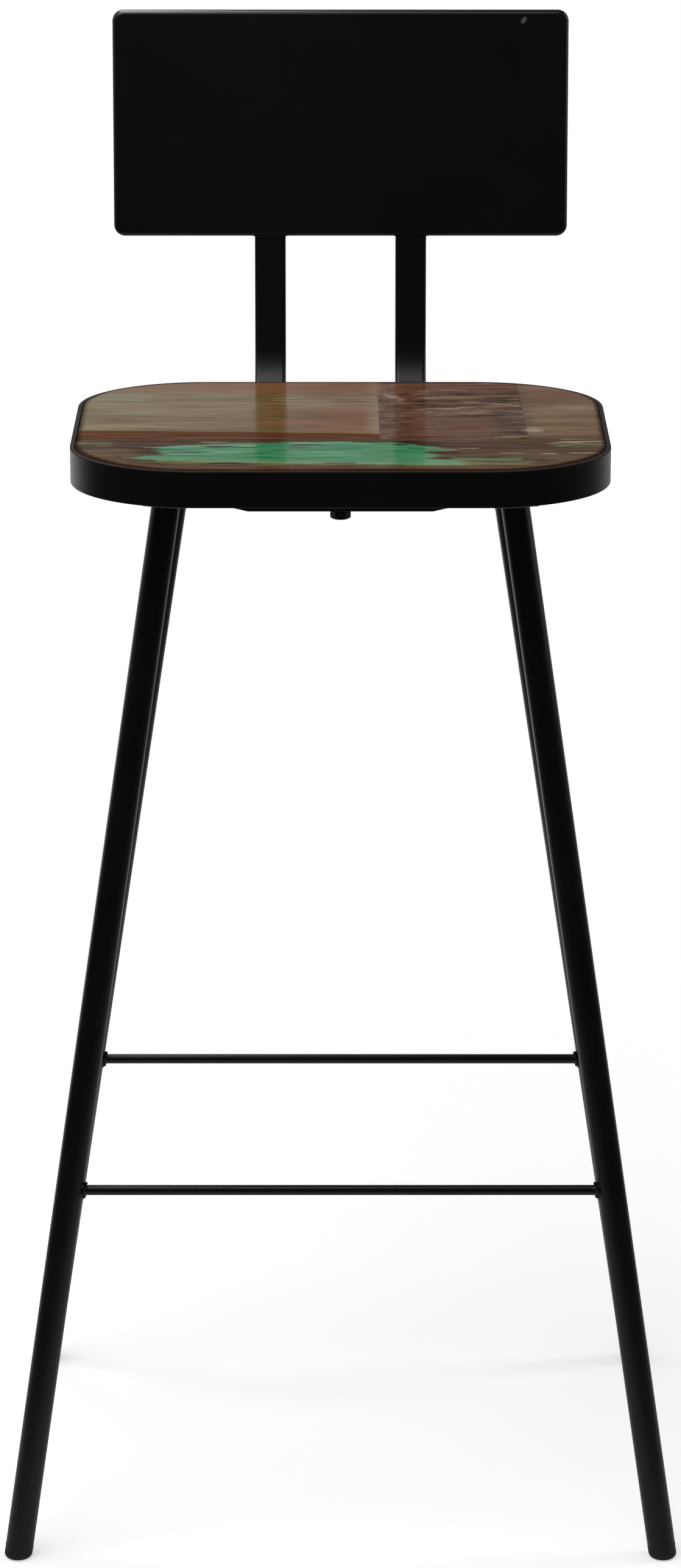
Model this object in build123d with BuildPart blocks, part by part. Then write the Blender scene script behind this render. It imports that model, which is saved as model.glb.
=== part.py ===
from build123d import *
from math import cos, radians, sin, sqrt
import os

os.makedirs("parts", exist_ok=True)

# Bar stool with a backrest and a footrest ring. Millimetres, +Z up, floor at z = 0.
# The front of the stool faces -Y, and the left side is at -X.

# Seat: boards lying in a flat-bar hoop
seat_height = 760          # top of the boards above the floor
seat_width = 360           # outside of the hoop, halfway between its front and back
seat_depth = 305
seat_taper = 11            # narrower along the front than along the back by this much
seat_corner = 86           # outer corner radius of the hoop, seen from above
band_height = 24
band_thickness = 3
band_edge_break = 0.5
board_thickness = 20
board_proud = 1            # the boards stand this much above the hoop
board_clearance = 0.3      # boards to the inside of the hoop
board_round = 2            # rounded rim of the boards
joint_chamfer = 0.4        # worn edge along the joint of two boards
front_board_depth = 98
middle_board_left = 26     # joint of the rear left and the rear middle board
middle_board_width = 99

# Flat-bar frame under the boards
rail_width = 30
rail_thickness = 5
screw_diameter = 4.5
screw_bite = 14            # length of a screw inside the boards
screw_head_diameter = 9
screw_head_height = 2.8
screw_head_round = 2
screw_clearance = 0.4      # screw to its hole in the rail

# Legs: splayed round tube, spacings measured between the tube axes
leg_diameter = 19
leg_wall = 1.5
floor_spacing_x = 444
floor_spacing_y = 332
top_spacing_x = 227        # at the underside of the rails
top_spacing_y = 127
rear_inset = 4             # the rear legs meet the rails this much nearer the middle
cap_height = 8             # foot cap below the end of the tube
cap_round = 3
cap_stem = 16
cap_clearance = 0.2

# Footrest: four rods welded between the legs
footrest_height = 256
rod_diameter = 7
weld_leg = 3               # size of the weld fillet around the end of a rod

# Backrest: two bent square tubes and a folded sheet-metal pan
post_size = 22
post_wall = 1.5
post_corner = 2.5
post_spacing = 101         # between the tube axes
post_bend = 60             # bend radius on the tube axis
post_band_gap = 2          # the bend starts this far behind the hoop
post_lean = 6.5            # backward lean in degrees
post_front_inset = 4       # tube ends back from the front edge of the clamp plate
plug_head = 2.5
plug_stem = 12
plug_clearance = 0.2
panel_width = 325
panel_height = 160         # along its face
panel_depth = 20
panel_sheet = 1.5
panel_corner = 8
panel_bend = 4             # outer radius of the folded edges
panel_bottom = 854         # lower edge above the floor
panel_notch_clearance = 0.5
post_top_gap = 18          # top plug to the inside of the pan's upper flange

# Clamp plate under the posts and the bolts that hold it
plate_width = 144
plate_depth = 100
plate_thickness = 3
plate_corner = 10
bolt_diameter = 8
bolt_across_flats = 12
bolt_head_height = 5.5
bolt_spacing = 60          # between the two bolts, front to back
bolt_bite = 12             # length of a bolt inside its insert
bolt_clearance = 0.4
flat_washer_diameter = 16
flat_washer_thickness = 1.6
spring_washer_diameter = 12.7
spring_washer_thickness = 2
spring_washer_slot = 1
insert_diameter = 12
insert_length = 13
insert_flange_diameter = 16
insert_flange = 1

# Heights that follow from the sizes above
board_bottom = seat_height - board_thickness
band_bottom = seat_height - board_proud - band_height
rail_bottom = board_bottom - rail_thickness
post_top = min(band_bottom, rail_bottom)
post_bottom = post_top - post_size
plate_bottom = post_bottom - plate_thickness
washer_bottom = plate_bottom - flat_washer_thickness
head_top = washer_bottom - spring_washer_thickness

# Bed of the boards inside the hoop
bed_inset = band_thickness + board_clearance
bed_width = seat_width - 2 * bed_inset
bed_depth = seat_depth - 2 * bed_inset
bed_reach = (bed_width + seat_taper) / 2

# Side view of the posts: a flat run under the seat, one bend, a leaning run
lean = radians(post_lean)
run_height = post_top - post_size / 2
run_front = post_front_inset - plate_depth / 2
bend_start = seat_depth / 2 + post_band_gap
bend_end_y = bend_start + post_bend * cos(lean)
bend_end_z = run_height + post_bend - post_bend * sin(lean)
face_offset = post_size / 2 + panel_sheet
panel_foot = (panel_bottom - bend_end_z - face_offset * sin(lean)) / cos(lean)
post_rise = panel_foot + panel_height - panel_sheet - post_top_gap - plug_head
panel_top_reach = bend_end_y + (panel_foot + panel_height) * sin(lean)
panel_back_reach = panel_top_reach + (panel_depth - face_offset) * cos(lean)
post_back_reach = bend_end_y + (post_rise + plug_head) * sin(lean) + post_size / 2 * cos(lean)

# Legs, and the origin on the floor under the middle of the whole outline
splay_x = (floor_spacing_x - top_spacing_x) / 2 / rail_bottom
splay_y = (floor_spacing_y - top_spacing_y) / 2 / rail_bottom
foot_reach = leg_diameter / 2 * sqrt(1 + splay_y**2) - splay_y * cap_round
front_reach = floor_spacing_y / 2 + foot_reach
leg_x = floor_spacing_x / 2 - splay_x * footrest_height
leg_y = floor_spacing_y / 2 - splay_y * footrest_height
rear_splay_x = (leg_x - top_spacing_x / 2 + rear_inset) / (rail_bottom - footrest_height)
rear_floor_x = leg_x + rear_splay_x * footrest_height
seat_y = (front_reach - max(panel_back_reach, post_back_reach)) / 2


def level(height):
    """Horizontal plane at a height, centred under the seat."""
    return Plane((0, seat_y, height))


def finish(builder, name):
    """Label a finished piece and write its file."""
    builder.part.label = name
    export_step(builder.part, f"parts/{name}.step")


# Places shared by the pieces of the seat frame
rail_x = top_spacing_x / 2
board_joint_y = front_board_depth - bed_depth / 2
screw_row = bed_depth / 2 - front_board_depth / 2
screw_places = [(x, y) for x in (-rail_x, rail_x) for y in (-screw_row, 0, screw_row)]
bolt_places = [(0, -bolt_spacing / 2), (0, bolt_spacing / 2)]
bolt_hole = bolt_diameter / 2 + bolt_clearance
screw_hole = screw_diameter / 2 + screw_clearance

# Outlines of the hoop, of its inside and of the bed
seat_front = seat_width - seat_taper / 2
seat_back = seat_width + seat_taper / 2
with BuildSketch() as hoop_outline:
    Polygon((-seat_front / 2, -seat_depth / 2), (seat_front / 2, -seat_depth / 2),
            (seat_back / 2, seat_depth / 2), (-seat_back / 2, seat_depth / 2), align=None)
    fillet(hoop_outline.vertices(), seat_corner)
with BuildSketch() as hoop_inside:
    add(hoop_outline.sketch)
    offset(amount=-band_thickness, mode=Mode.REPLACE)
with BuildSketch() as bed_outline:
    add(hoop_outline.sketch)
    offset(amount=-bed_inset, mode=Mode.REPLACE)

# Hoop of flat bar around the seat
with BuildPart() as seat_band:
    with BuildSketch(level(band_bottom)):
        add(hoop_outline.sketch)
        add(hoop_inside.sketch, mode=Mode.SUBTRACT)
    extrude(amount=band_height)
    rims = seat_band.faces().filter_by(Axis.Z)
    chamfer([edge for rim in rims for edge in rim.outer_wire().edges()], band_edge_break)
finish(seat_band, "seat_band")


def on_joint(edge):
    """Whether a straight edge of a board's top lies along a joint, away from the rim."""
    middle = edge.center() - Vector(0, seat_y, 0)
    bed_half = (bed_width + seat_taper * middle.Y / seat_depth) / 2
    inside_x = bed_half - abs(middle.X) > board_round + joint_chamfer
    inside_y = bed_depth / 2 - abs(middle.Y) > board_round + joint_chamfer
    return inside_x and inside_y


# Boards: one across the front, three behind it, as boxes left, right, front, back
middle_board_right = middle_board_left + middle_board_width
board_boxes = {
    "seat_board_front": (-bed_reach, bed_reach, -bed_depth / 2, board_joint_y),
    "seat_board_rear_left": (-bed_reach, middle_board_left, board_joint_y, bed_depth / 2),
    "seat_board_rear_middle": (middle_board_left, middle_board_right, board_joint_y, bed_depth / 2),
    "seat_board_rear_right": (middle_board_right, bed_reach, board_joint_y, bed_depth / 2),
}
for name, (left, right, front, back) in board_boxes.items():
    with BuildPart() as board:
        with BuildSketch(level(board_bottom)):
            add(bed_outline.sketch)
        extrude(amount=board_thickness)
        fillet(board.faces().sort_by(Axis.Z)[-1].edges(), board_round)
        with BuildSketch(level(board_bottom)):
            with Locations(((left + right) / 2, (front + back) / 2)):
                Rectangle(right - left, back - front)
        extrude(amount=board_thickness, mode=Mode.INTERSECT)
        top_lines = board.faces().sort_by(Axis.Z)[-1].edges().filter_by(GeomType.LINE)
        chamfer([edge for edge in top_lines if on_joint(edge)], joint_chamfer)
        with BuildSketch(level(board_bottom)):
            with Locations(*screw_places):
                Circle(screw_diameter / 2)
        extrude(amount=screw_bite, mode=Mode.SUBTRACT)
        with BuildSketch(level(board_bottom)):
            with Locations(*bolt_places):
                Circle(insert_diameter / 2)
        extrude(amount=insert_length, mode=Mode.SUBTRACT)
        with BuildSketch(level(board_bottom)):
            with Locations(*bolt_places):
                Circle(insert_flange_diameter / 2)
        extrude(amount=insert_flange, mode=Mode.SUBTRACT)
    finish(board, name)

# Rails from the front of the hoop to its back, over the tops of the legs
for name, side in (("rail_left", -1), ("rail_right", 1)):
    with BuildPart() as rail:
        with BuildSketch(level(rail_bottom)):
            add(hoop_inside.sketch)
            with Locations((side * rail_x, 0)):
                Rectangle(rail_width, seat_depth, mode=Mode.INTERSECT)
            with Locations(*screw_places):
                Circle(screw_hole, mode=Mode.SUBTRACT)
        extrude(amount=rail_thickness)
    finish(rail, name)

# Cross rails between the rails, which the posts are clamped against
for name, place in zip(("cross_rail_front", "cross_rail_rear"), bolt_places):
    with BuildPart() as cross_rail:
        with BuildSketch(level(post_top)):
            with Locations(place):
                Rectangle(top_spacing_x - rail_width, rail_width)
                Circle(bolt_hole, mode=Mode.SUBTRACT)
        extrude(amount=board_bottom - post_top)
    finish(cross_rail, name)

# Wood screws, driven up through the rails
with BuildPart() as board_screws:
    with BuildSketch(level(rail_bottom)):
        with Locations(*screw_places):
            Circle(screw_head_diameter / 2)
    extrude(amount=-screw_head_height)
    heads = board_screws.faces().filter_by(Axis.Z).group_by(Axis.Z)[0]
    fillet(heads.edges(), screw_head_round)
    with BuildSketch(level(rail_bottom)):
        with Locations(*screw_places):
            Circle(screw_diameter / 2)
    extrude(amount=rail_thickness + screw_bite)
finish(board_screws, "board_screws")

# Legs and foot caps; at the height of the footrest all four stand on one rectangle
corners = {
    "front_left": (-1, -1),
    "front_right": (1, -1),
    "rear_left": (-1, 1),
    "rear_right": (1, 1),
}
leg_axes = {}
for corner, (side, end) in corners.items():
    foot_x = rear_floor_x if end > 0 else floor_spacing_x / 2
    leg_splay = rear_splay_x if end > 0 else splay_x
    foot = (side * foot_x, seat_y + end * floor_spacing_y / 2, 0)
    leg_axes[corner] = Plane(foot, z_dir=(-side * leg_splay, -end * splay_y, 1))
leg_reach = rail_bottom * sqrt(1 + rear_splay_x**2 + splay_y**2) + 2 * leg_diameter
bore = leg_diameter / 2 - leg_wall

for corner, axis in leg_axes.items():
    with BuildPart() as leg:
        with BuildSketch(axis.offset(-leg_diameter)):
            Circle(leg_diameter / 2)
            Circle(bore, mode=Mode.SUBTRACT)
        extrude(amount=leg_reach)
        split(bisect_by=level(rail_bottom), keep=Keep.BOTTOM)
        split(bisect_by=level(cap_height), keep=Keep.TOP)
    finish(leg, f"leg_{corner}")

    with BuildPart() as foot_cap:
        with BuildSketch(axis.offset(-leg_diameter)):
            Circle(leg_diameter / 2)
        extrude(amount=leg_reach)
        split(bisect_by=level(0), keep=Keep.TOP)
        split(bisect_by=level(cap_height), keep=Keep.BOTTOM)
        fillet(foot_cap.faces().sort_by(Axis.Z)[0].edges(), cap_round)
        with BuildSketch(axis.offset(cap_height / 2)):
            Circle(bore - cap_clearance)
        extrude(amount=cap_height / 2 + cap_stem)
    finish(foot_cap, f"foot_cap_{corner}")

# Footrest rods, flared by the welds and coped to the legs
front_middle = Plane((0, seat_y - leg_y, footrest_height), x_dir=(1, 0, 0), z_dir=(0, -1, 0))
rear_middle = Plane((0, seat_y + leg_y, footrest_height), x_dir=(1, 0, 0), z_dir=(0, -1, 0))
left_middle = Plane((-leg_x, seat_y, footrest_height), x_dir=(0, 1, 0), z_dir=(1, 0, 0))
right_middle = Plane((leg_x, seat_y, footrest_height), x_dir=(0, 1, 0), z_dir=(1, 0, 0))
footrest_rods = {
    "footrest_bar_front": (front_middle, leg_x, ("front_left", "front_right")),
    "footrest_bar_rear": (rear_middle, leg_x, ("rear_left", "rear_right")),
    "footrest_bar_left": (left_middle, leg_y, ("front_left", "rear_left")),
    "footrest_bar_right": (right_middle, leg_y, ("front_right", "rear_right")),
}
rod_radius = rod_diameter / 2
made_rods = []
for name, (middle, half_length, ends) in footrest_rods.items():
    weld_end = half_length - leg_diameter / 2
    weld_start = weld_end - weld_leg
    weld_radius = rod_radius + weld_leg
    with BuildPart() as rod:
        with BuildSketch(middle):
            with BuildLine():
                Line((0, 0), (half_length, 0))
                Line((half_length, 0), (half_length, weld_radius))
                Line((half_length, weld_radius), (weld_end, weld_radius))
                JernArc((weld_start, rod_radius), (1, 0), weld_leg, 90)
                Line((weld_start, rod_radius), (0, rod_radius))
                Line((0, rod_radius), (0, 0))
            make_face()
            mirror(about=Plane.YZ)
        revolve(axis=Axis(middle.origin, middle.x_dir))
        for corner in ends:
            with BuildSketch(leg_axes[corner]):
                Circle(leg_diameter / 2)
            extrude(amount=leg_reach, mode=Mode.SUBTRACT)
        for earlier in made_rods:
            add(earlier, mode=Mode.SUBTRACT)
    finish(rod, name)
    made_rods.append(rod.part)

# Backrest posts and the plugs in their ends
post_sides = {"left": -post_spacing / 2, "right": post_spacing / 2}
plug_bore = post_size - 2 * post_wall - 2 * plug_clearance
plug_bore_corner = post_corner - post_wall
post_paths = {}
for side, x in post_sides.items():
    with BuildPart() as post:
        with BuildLine(Plane((x, seat_y, 0), x_dir=(0, 1, 0), z_dir=(1, 0, 0))) as post_path:
            run = Line((run_front, run_height), (bend_start, run_height))
            bend = JernArc(run @ 1, run % 1, post_bend, 90 - post_lean)
            Line(bend @ 1, bend @ 1 + post_rise * (bend % 1))
        wire = post_path.wire()
        start = Plane(wire @ 0, x_dir=(1, 0, 0), z_dir=wire % 0)
        with BuildSketch(start):
            RectangleRounded(post_size, post_size, post_corner)
            RectangleRounded(post_size - 2 * post_wall, post_size - 2 * post_wall,
                             plug_bore_corner, mode=Mode.SUBTRACT)
        sweep(path=wire)
    finish(post, f"backrest_post_{side}")
    post_paths[side] = wire

for name, at in (("post_plugs_front", 0), ("post_plugs_top", 1)):
    with BuildPart() as plugs:
        for wire in post_paths.values():
            out = (wire % at) * (1 if at else -1)
            mouth = Plane(wire @ at, x_dir=(1, 0, 0), z_dir=out)
            with BuildSketch(mouth):
                RectangleRounded(post_size, post_size, post_corner)
            extrude(amount=plug_head)
            with BuildSketch(mouth):
                RectangleRounded(plug_bore, plug_bore, plug_bore_corner)
            extrude(amount=-plug_stem)
    finish(plugs, name)

# Backrest pan: folded sheet, open at the back, notched below for the posts
up = Vector(0, sin(lean), cos(lean))
forward = Vector(0, -cos(lean), sin(lean))
bend_end = Vector(0, seat_y + bend_end_y, bend_end_z)
panel_face = Plane(bend_end + up * panel_foot + forward * face_offset,
                   x_dir=(1, 0, 0), z_dir=forward)
with BuildPart() as backrest_panel:
    with BuildSketch(panel_face):
        with Locations((0, panel_height / 2)):
            RectangleRounded(panel_width, panel_height, panel_corner)
    extrude(amount=-panel_depth)
    front_face = backrest_panel.faces().sort_by(Axis(panel_face.origin, forward))[-1]
    fillet(front_face.edges(), panel_bend)
    with BuildSketch(panel_face.offset(-panel_sheet)):
        with Locations((0, panel_height / 2)):
            RectangleRounded(panel_width - 2 * panel_sheet, panel_height - 2 * panel_sheet,
                             panel_corner - panel_sheet)
    extrude(amount=-panel_depth, mode=Mode.SUBTRACT)
    sheet_faces = backrest_panel.faces().filter_by(Axis((0, 0, 0), forward))
    inner_face = sheet_faces.sort_by(Axis(panel_face.origin, forward))[-2]
    fillet(inner_face.edges(), panel_bend - panel_sheet)
    with BuildSketch(panel_face.offset(-panel_sheet)):
        with GridLocations(post_spacing, 0, 2, 1):
            Rectangle(post_size + 2 * panel_notch_clearance, 2 * panel_bend)
    extrude(amount=-panel_depth, mode=Mode.SUBTRACT)
finish(backrest_panel, "backrest_panel")

# Clamp plate under the posts
with BuildPart() as clamp_plate:
    with BuildSketch(level(plate_bottom)) as plate_outline:
        Rectangle(plate_width, plate_depth)
        chamfer(plate_outline.vertices(), plate_corner)
        with Locations(*bolt_places):
            Circle(bolt_hole, mode=Mode.SUBTRACT)
    extrude(amount=plate_thickness)
finish(clamp_plate, "clamp_plate")

# Bolts, washers and the threaded inserts in the boards
with BuildPart() as clamp_bolts:
    with BuildSketch(level(head_top)):
        with Locations(*bolt_places):
            RegularPolygon(bolt_across_flats / 2, 6, major_radius=False)
    extrude(amount=-bolt_head_height)
    with BuildSketch(level(head_top)):
        with Locations(*bolt_places):
            Circle(bolt_diameter / 2)
    extrude(amount=board_bottom + bolt_bite - head_top)
finish(clamp_bolts, "clamp_bolts")

with BuildPart() as flat_washers:
    with BuildSketch(level(washer_bottom)):
        with Locations(*bolt_places):
            Circle(flat_washer_diameter / 2)
            Circle(bolt_hole, mode=Mode.SUBTRACT)
    extrude(amount=flat_washer_thickness)
finish(flat_washers, "flat_washers")

with BuildPart() as spring_washers:
    with BuildSketch(level(head_top)):
        with Locations(*bolt_places):
            Circle(spring_washer_diameter / 2)
            Circle(bolt_hole, mode=Mode.SUBTRACT)
        slot_length = spring_washer_diameter / 2
        slot_places = [(x + slot_length / 2, y) for x, y in bolt_places]
        with Locations(*slot_places):
            Rectangle(slot_length, spring_washer_slot, mode=Mode.SUBTRACT)
    extrude(amount=spring_washer_thickness)
finish(spring_washers, "spring_washers")

with BuildPart() as threaded_inserts:
    with BuildSketch(level(board_bottom)):
        with Locations(*bolt_places):
            Circle(insert_diameter / 2)
    extrude(amount=insert_length)
    with BuildSketch(level(board_bottom)):
        with Locations(*bolt_places):
            Circle(insert_flange_diameter / 2)
    extrude(amount=insert_flange)
    with BuildSketch(level(board_bottom)):
        with Locations(*bolt_places):
            Circle(bolt_diameter / 2)
    extrude(amount=bolt_bite, mode=Mode.SUBTRACT)
finish(threaded_inserts, "threaded_inserts")
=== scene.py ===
import math
import random

import bmesh
import bpy
from mathutils import Matrix, Vector, noise


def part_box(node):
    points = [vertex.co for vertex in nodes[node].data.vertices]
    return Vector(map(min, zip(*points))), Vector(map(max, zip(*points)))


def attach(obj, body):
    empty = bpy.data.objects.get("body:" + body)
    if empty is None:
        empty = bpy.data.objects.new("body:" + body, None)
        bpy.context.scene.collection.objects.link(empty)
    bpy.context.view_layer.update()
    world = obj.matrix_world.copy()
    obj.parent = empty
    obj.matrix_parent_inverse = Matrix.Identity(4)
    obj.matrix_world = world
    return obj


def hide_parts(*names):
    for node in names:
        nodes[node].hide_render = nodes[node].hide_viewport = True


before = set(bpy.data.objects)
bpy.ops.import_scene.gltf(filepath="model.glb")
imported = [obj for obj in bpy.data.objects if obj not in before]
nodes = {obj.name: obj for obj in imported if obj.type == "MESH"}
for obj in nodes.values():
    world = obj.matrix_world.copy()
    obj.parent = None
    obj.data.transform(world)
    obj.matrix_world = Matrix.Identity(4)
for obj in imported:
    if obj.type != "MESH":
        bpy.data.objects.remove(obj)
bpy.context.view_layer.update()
print("frame loaded:", len(nodes), "nodes")


def operator(operation, swapped=False):
    def apply(first, second=0.0):
        return first.math(operation, second, first) if swapped else first.math(operation, first, second)
    return apply


# a socket that can stand in a Python expression
class Signal:
    def __init__(self, socket):
        self.socket = socket

    def math(self, operation, first, second):
        tree = self.socket.id_data
        node = tree.nodes.new("ShaderNodeMath")
        node.operation = operation
        for slot, value in zip(node.inputs, (first, second)):
            if isinstance(value, Signal):
                tree.links.new(value.socket, slot)
            else:
                slot.default_value = value
        return Signal(node.outputs[0])

    __add__ = operator("ADD")
    __radd__ = operator("ADD", swapped=True)
    __sub__ = operator("SUBTRACT")
    __rsub__ = operator("SUBTRACT", swapped=True)
    __mul__ = operator("MULTIPLY")
    __rmul__ = operator("MULTIPLY", swapped=True)
    __truediv__ = operator("DIVIDE")
    __pow__ = operator("POWER")
    __abs__ = operator("ABSOLUTE")
    atLeast = operator("MAXIMUM")
    sine = operator("SINE")


# a node tree and the nodes that the finishes are mixed from
class Bench:
    def __init__(self, tree):
        self.tree = tree

    def feed(self, socket, value):
        if isinstance(value, Signal):
            self.tree.links.new(value.socket, socket)
        else:
            socket.default_value = value

    def add(self, kind, settings=None, inputs=None, out=0):
        node = self.tree.nodes.new("ShaderNode" + kind)
        for key, value in (settings or {}).items():
            setattr(node, key, value)
        for key, value in (inputs or {}).items():
            self.feed(node.inputs[key], value)
        return Signal(node.outputs[out])

    def step(self, value, low, high):
        return self.add("MapRange", {"interpolation_type": "SMOOTHSTEP"},
                        {"Value": value, "From Min": low, "From Max": high})

    def window(self, value, low, high, soft):
        # 1 between low and high, with soft ends
        return self.step(value, low - soft, low + soft) * (1 - self.step(value, high - soft, high + soft))

    def mix(self, factor, first, second):
        return self.add("Mix", {"data_type": "RGBA"}, {0: factor, 6: first, 7: second}, out=2)

    def split(self, vector):
        return [self.add("SeparateXYZ", None, {0: vector}, out=axis) for axis in range(3)]


# one material; what is the same all over goes on the shader's own sockets
class Finish(Bench):
    def __init__(self, name, **fixed):
        self.material = bpy.data.materials.new(name)
        self.material.use_nodes = True
        super().__init__(self.material.node_tree)
        self.shader = self.tree.nodes["Principled BSDF"]
        for key, value in fixed.items():
            self.shader.inputs[key.replace("_", " ")].default_value = value
        self.place = self.add("TexCoord", out="Object")

    def noise(self, scale, shift=(0, 0, 0), detail=4.0, rough=0.5, warp=0.0):
        if isinstance(scale, (int, float)):
            scale = (scale, scale, scale)
        vector = self.add("Mapping", None, {"Vector": self.place, "Location": shift, "Scale": scale})
        return self.add("TexNoise", None, {"Vector": vector, "Scale": 1.0, "Detail": detail,
                                           "Roughness": rough, "Distortion": warp})

    def cells(self, scale):
        return self.add("TexVoronoi", None, {"Vector": self.place, "Scale": scale}, out="Distance")

    def bump(self, height, strength, distance):
        return self.add("Bump", None, {"Height": height, "Strength": strength, "Distance": distance})

    def use(self, **links):
        for key, value in links.items():
            self.feed(self.shader.inputs[key.replace("_", " ")], value)
        return self.material


def tone(red, green, blue):
    # a colour picked on screen, 0 to 255, as the linear value a shader takes
    parts = []
    for part in (red / 255, green / 255, blue / 255):
        parts.append(part / 12.92 if part <= 0.04045 else ((part + 0.055) / 1.055) ** 2.4)
    return (*parts, 1)


# camera, fitted to the outline of the legs, rods and hoop
cameraView = {
    "distance": 2.826,  # in front of the middle of the seat
    "height": 1.3315,
    "pitchDown": 16.29,
    "focalPixels": 6977,
    "longSidePixels": 2576,
    "sensor": 36.0,
}
seatLow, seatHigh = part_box("seat_band")
seatMiddle = (seatLow + seatHigh) / 2


def placeCamera(view):
    data = bpy.data.cameras.new("camera")
    data.sensor_width = view["sensor"]
    data.lens = view["focalPixels"] * view["sensor"] / view["longSidePixels"]
    camera = bpy.data.objects.new("camera", data)
    camera.location = (0, seatMiddle.y - view["distance"], view["height"])
    camera.rotation_euler = (math.radians(90 - view["pitchDown"]), 0, 0)
    bpy.context.collection.objects.link(camera)
    bpy.context.scene.camera = camera


placeCamera(cameraView)

# studio: white behind the stool and dark behind the camera, as in the photo
studio = {
    "diffuseLevel": 0.4,
    "frontGloss": 0.016,
    "darkTo": 0.3,  # how far the ray points to the back, from -1 to 1
    "whiteFrom": 0.95,
    "rightGloss": 0.6,  # the backdrop is less bright at the right
    "rightFade": (-0.15, 0.25),
    "aboveGloss": 0.55,  # and above the stool
    "aboveFade": (0.35, 0.75),
    "floorRadius": 1.15,
    "floorSolid": 0.45,  # the floor fades out from here
    "floorRim": 0.05,  # and is gone this far from its rim
    "floorTone": (0.72, 0.72, 0.72, 1),
    "floorLift": 0.46,
}
lamps = {
    "topSoftbox": {"at": (-0.7, -0.7, 2.7), "aim": (0, 0, 0.75), "size": (1.7, 1.3), "power": 27},
    "overLeft": {"at": (-0.13, 0.22, 1.6), "aim": (-0.12, 0.18, 1.0), "size": (0.12, 0.16), "power": 1.3},
    "edgeStrip": {"at": (-0.22, 0.265, 1.35), "aim": (-0.22, 0.265, 1.0), "size": (0.16, 0.43),
                  "power": 2.6, "glossOnly": True},  # only seen in reflections
    "rightStrip": {"at": (1.9, 0.3, 1.5), "aim": (0, 0, 0.5), "size": (0.5, 1.6), "power": 9},
    "leftStrip": {"at": (-1.9, 0.5, 1.6), "aim": (0, 0, 0.6), "size": (0.5, 1.6), "power": 7},
}


def lightRoom(room):
    world = bpy.data.worlds.new("studio")
    bpy.context.scene.world = world
    world.use_nodes = True
    bench = Bench(world.node_tree)
    shown = bench.add("LightPath", out="Is Camera Ray")
    shown = shown + bench.add("LightPath", out="Is Transmission Ray")
    mirrored = bench.add("LightPath", out="Is Glossy Ray")
    sideways, backward, upward = bench.split(bench.add("TexCoord", out="Generated"))
    behind = bench.step(backward, room["darkTo"], room["whiteFrom"])
    evenness = 1 - bench.step(sideways, *room["rightFade"]) * (1 - room["rightGloss"])
    evenness = evenness * (1 - bench.step(upward, *room["aboveFade"]) * (1 - room["aboveGloss"]))
    gloss = room["frontGloss"] + behind * evenness * (1 - room["frontGloss"])
    level = shown + mirrored * gloss + (1 - shown - mirrored) * room["diffuseLevel"]
    background = world.node_tree.nodes["Background"]
    background.inputs["Color"].default_value = (1, 1, 1, 1)
    bench.feed(background.inputs["Strength"], level)


def layFloor(room):
    mesh = bmesh.new()
    bmesh.ops.create_circle(mesh, cap_ends=True, segments=96, radius=room["floorRadius"])
    data = bpy.data.meshes.new("studioFloor")
    mesh.to_mesh(data)
    mesh.free()
    floor = bpy.data.objects.new("studioFloor", data)
    bpy.context.collection.objects.link(floor)
    paper = Finish("studioPaper", Base_Color=room["floorTone"], Roughness=0.9, Specular_IOR_Level=0.1,
                   Emission_Strength=1.0)
    radius = paper.add("VectorMath", {"operation": "LENGTH"}, {0: paper.place}, out="Value")
    fade = 1 - paper.step(radius, room["floorSolid"], room["floorRadius"] - room["floorRim"])
    lift = paper.add("LightPath", out="Is Camera Ray") * room["floorLift"]
    data.materials.append(paper.use(Alpha=fade, Emission_Color=lift))


def hangLamps(table):
    for name, lamp in table.items():
        data = bpy.data.lights.new(name, "AREA")
        data.shape = "RECTANGLE"
        data.size, data.size_y = lamp["size"]
        data.energy = lamp["power"]
        bulb = bpy.data.objects.new(name, data)
        bulb.visible_camera = False
        bulb.visible_diffuse = not lamp.get("glossOnly", False)
        bulb.location = lamp["at"]
        bulb.rotation_euler = (Vector(lamp["aim"]) - bulb.location).to_track_quat("-Z", "Y").to_euler()
        bpy.context.collection.objects.link(bulb)


lightRoom(studio)
layFloor(studio)
hangLamps(lamps)
print("studio set")

# marks in the coat: a nick near the top right corner of the backrest, across and up,
# and a painted warm reflection of the boards on the upper rim of the hoop
coatMarks = {
    "nickAt": (0.130, 1.0055),
    "nickSize": (0.0019, 0.0026),
    "rimReflectionLevel": (0.7584, 0.7596),
    "rimReflectionSoft": 0.0003,
    "rimReflectionBackSoft": 0.001,  # it ends behind the seat
}


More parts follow.
